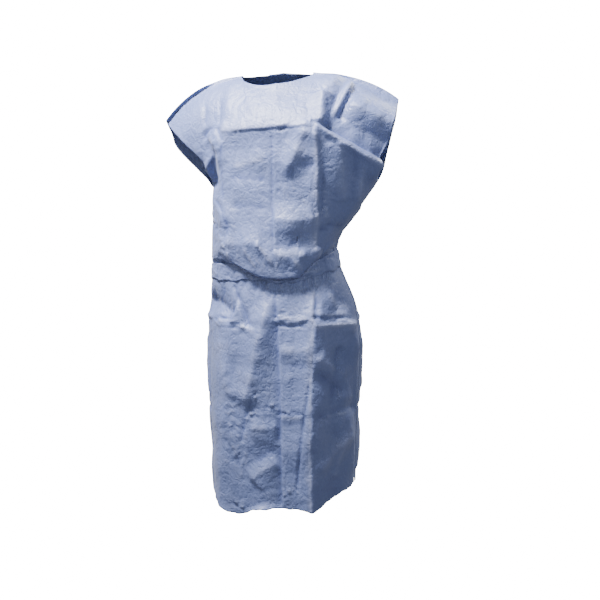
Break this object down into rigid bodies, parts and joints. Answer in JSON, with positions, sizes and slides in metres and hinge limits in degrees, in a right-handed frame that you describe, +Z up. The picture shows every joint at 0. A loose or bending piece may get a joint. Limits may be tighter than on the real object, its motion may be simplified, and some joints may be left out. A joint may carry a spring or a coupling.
{
  "type": "exam gown",
  "caption": "Tissue exam gown in its worn hollow form, with cut-on cap sleeves, a round neck, a lapped back opening and a waist tie knotted behind.",
  "frame": {"origin": "middle of the neck at shoulder height, where the wearer's shoulders hold the gown", "axes": "+Z up, front faces -Y, the wearer's left is +X"},
  "size_m": [0.5478, 0.2783, 1.0091],
  "materials": {
    "front": "matt embossed blue tissue, creased, with a faint papery sheen",
    "back_right": "matt embossed blue tissue, creased, with a faint papery sheen",
    "back_left": "matt embossed blue tissue, creased, with a faint papery sheen",
    "belt": "matt embossed blue tissue, creased, with a faint papery sheen",
    "belt_knot": "matt embossed blue tissue, creased, with a faint papery sheen",
    "tie_right": "matt embossed blue tissue, creased, with a faint papery sheen",
    "tie_left": "matt embossed blue tissue, creased, with a faint papery sheen"
  },
  "bodies": {
    "root": {"front": "front", "back_right": "back_right", "back_left": "back_left", "belt": "belt", "belt_knot": "belt_knot", "tie_right": "tie_right", "tie_left": "tie_left"}
  },
  "joints": []
}
